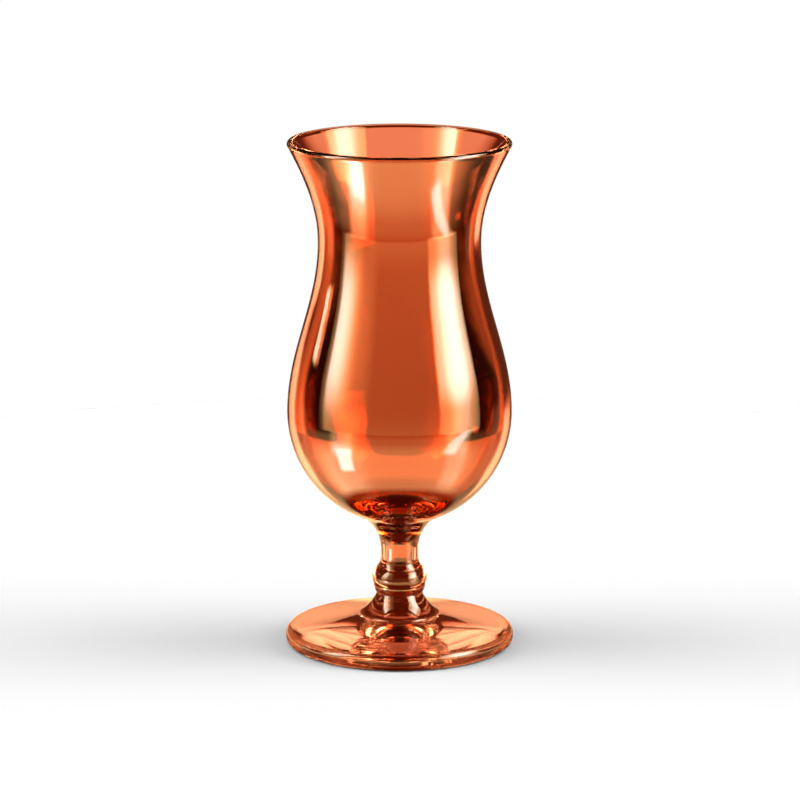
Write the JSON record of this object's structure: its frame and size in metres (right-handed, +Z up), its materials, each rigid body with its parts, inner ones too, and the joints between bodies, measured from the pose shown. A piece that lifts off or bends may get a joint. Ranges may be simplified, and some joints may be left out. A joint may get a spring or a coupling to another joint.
{
  "type": "stemmed goblet",
  "caption": "Clear copper-tinted plastic goblet with an hourglass bowl that flares at the mouth, a turned knop stem and a round foot; holds a cold drink.",
  "frame": {"origin": "middle of the resting plane, under the foot, on the axis of revolution", "axes": "+Z up along the axis of revolution, from the foot to the mouth; +X and +Y are alike"},
  "size_m": [0.081, 0.081, 0.1807],
  "materials": {
    "tinted_plastic": "clear copper-orange tint, polished",
    "cured_bond": "clear cured adhesive, faintly tinted"
  },
  "bodies": {
    "root": {"foot": "tinted_plastic", "lower_bond": "cured_bond", "stem": "tinted_plastic", "upper_bond": "cured_bond", "bowl": "tinted_plastic"}
  },
  "joints": []
}
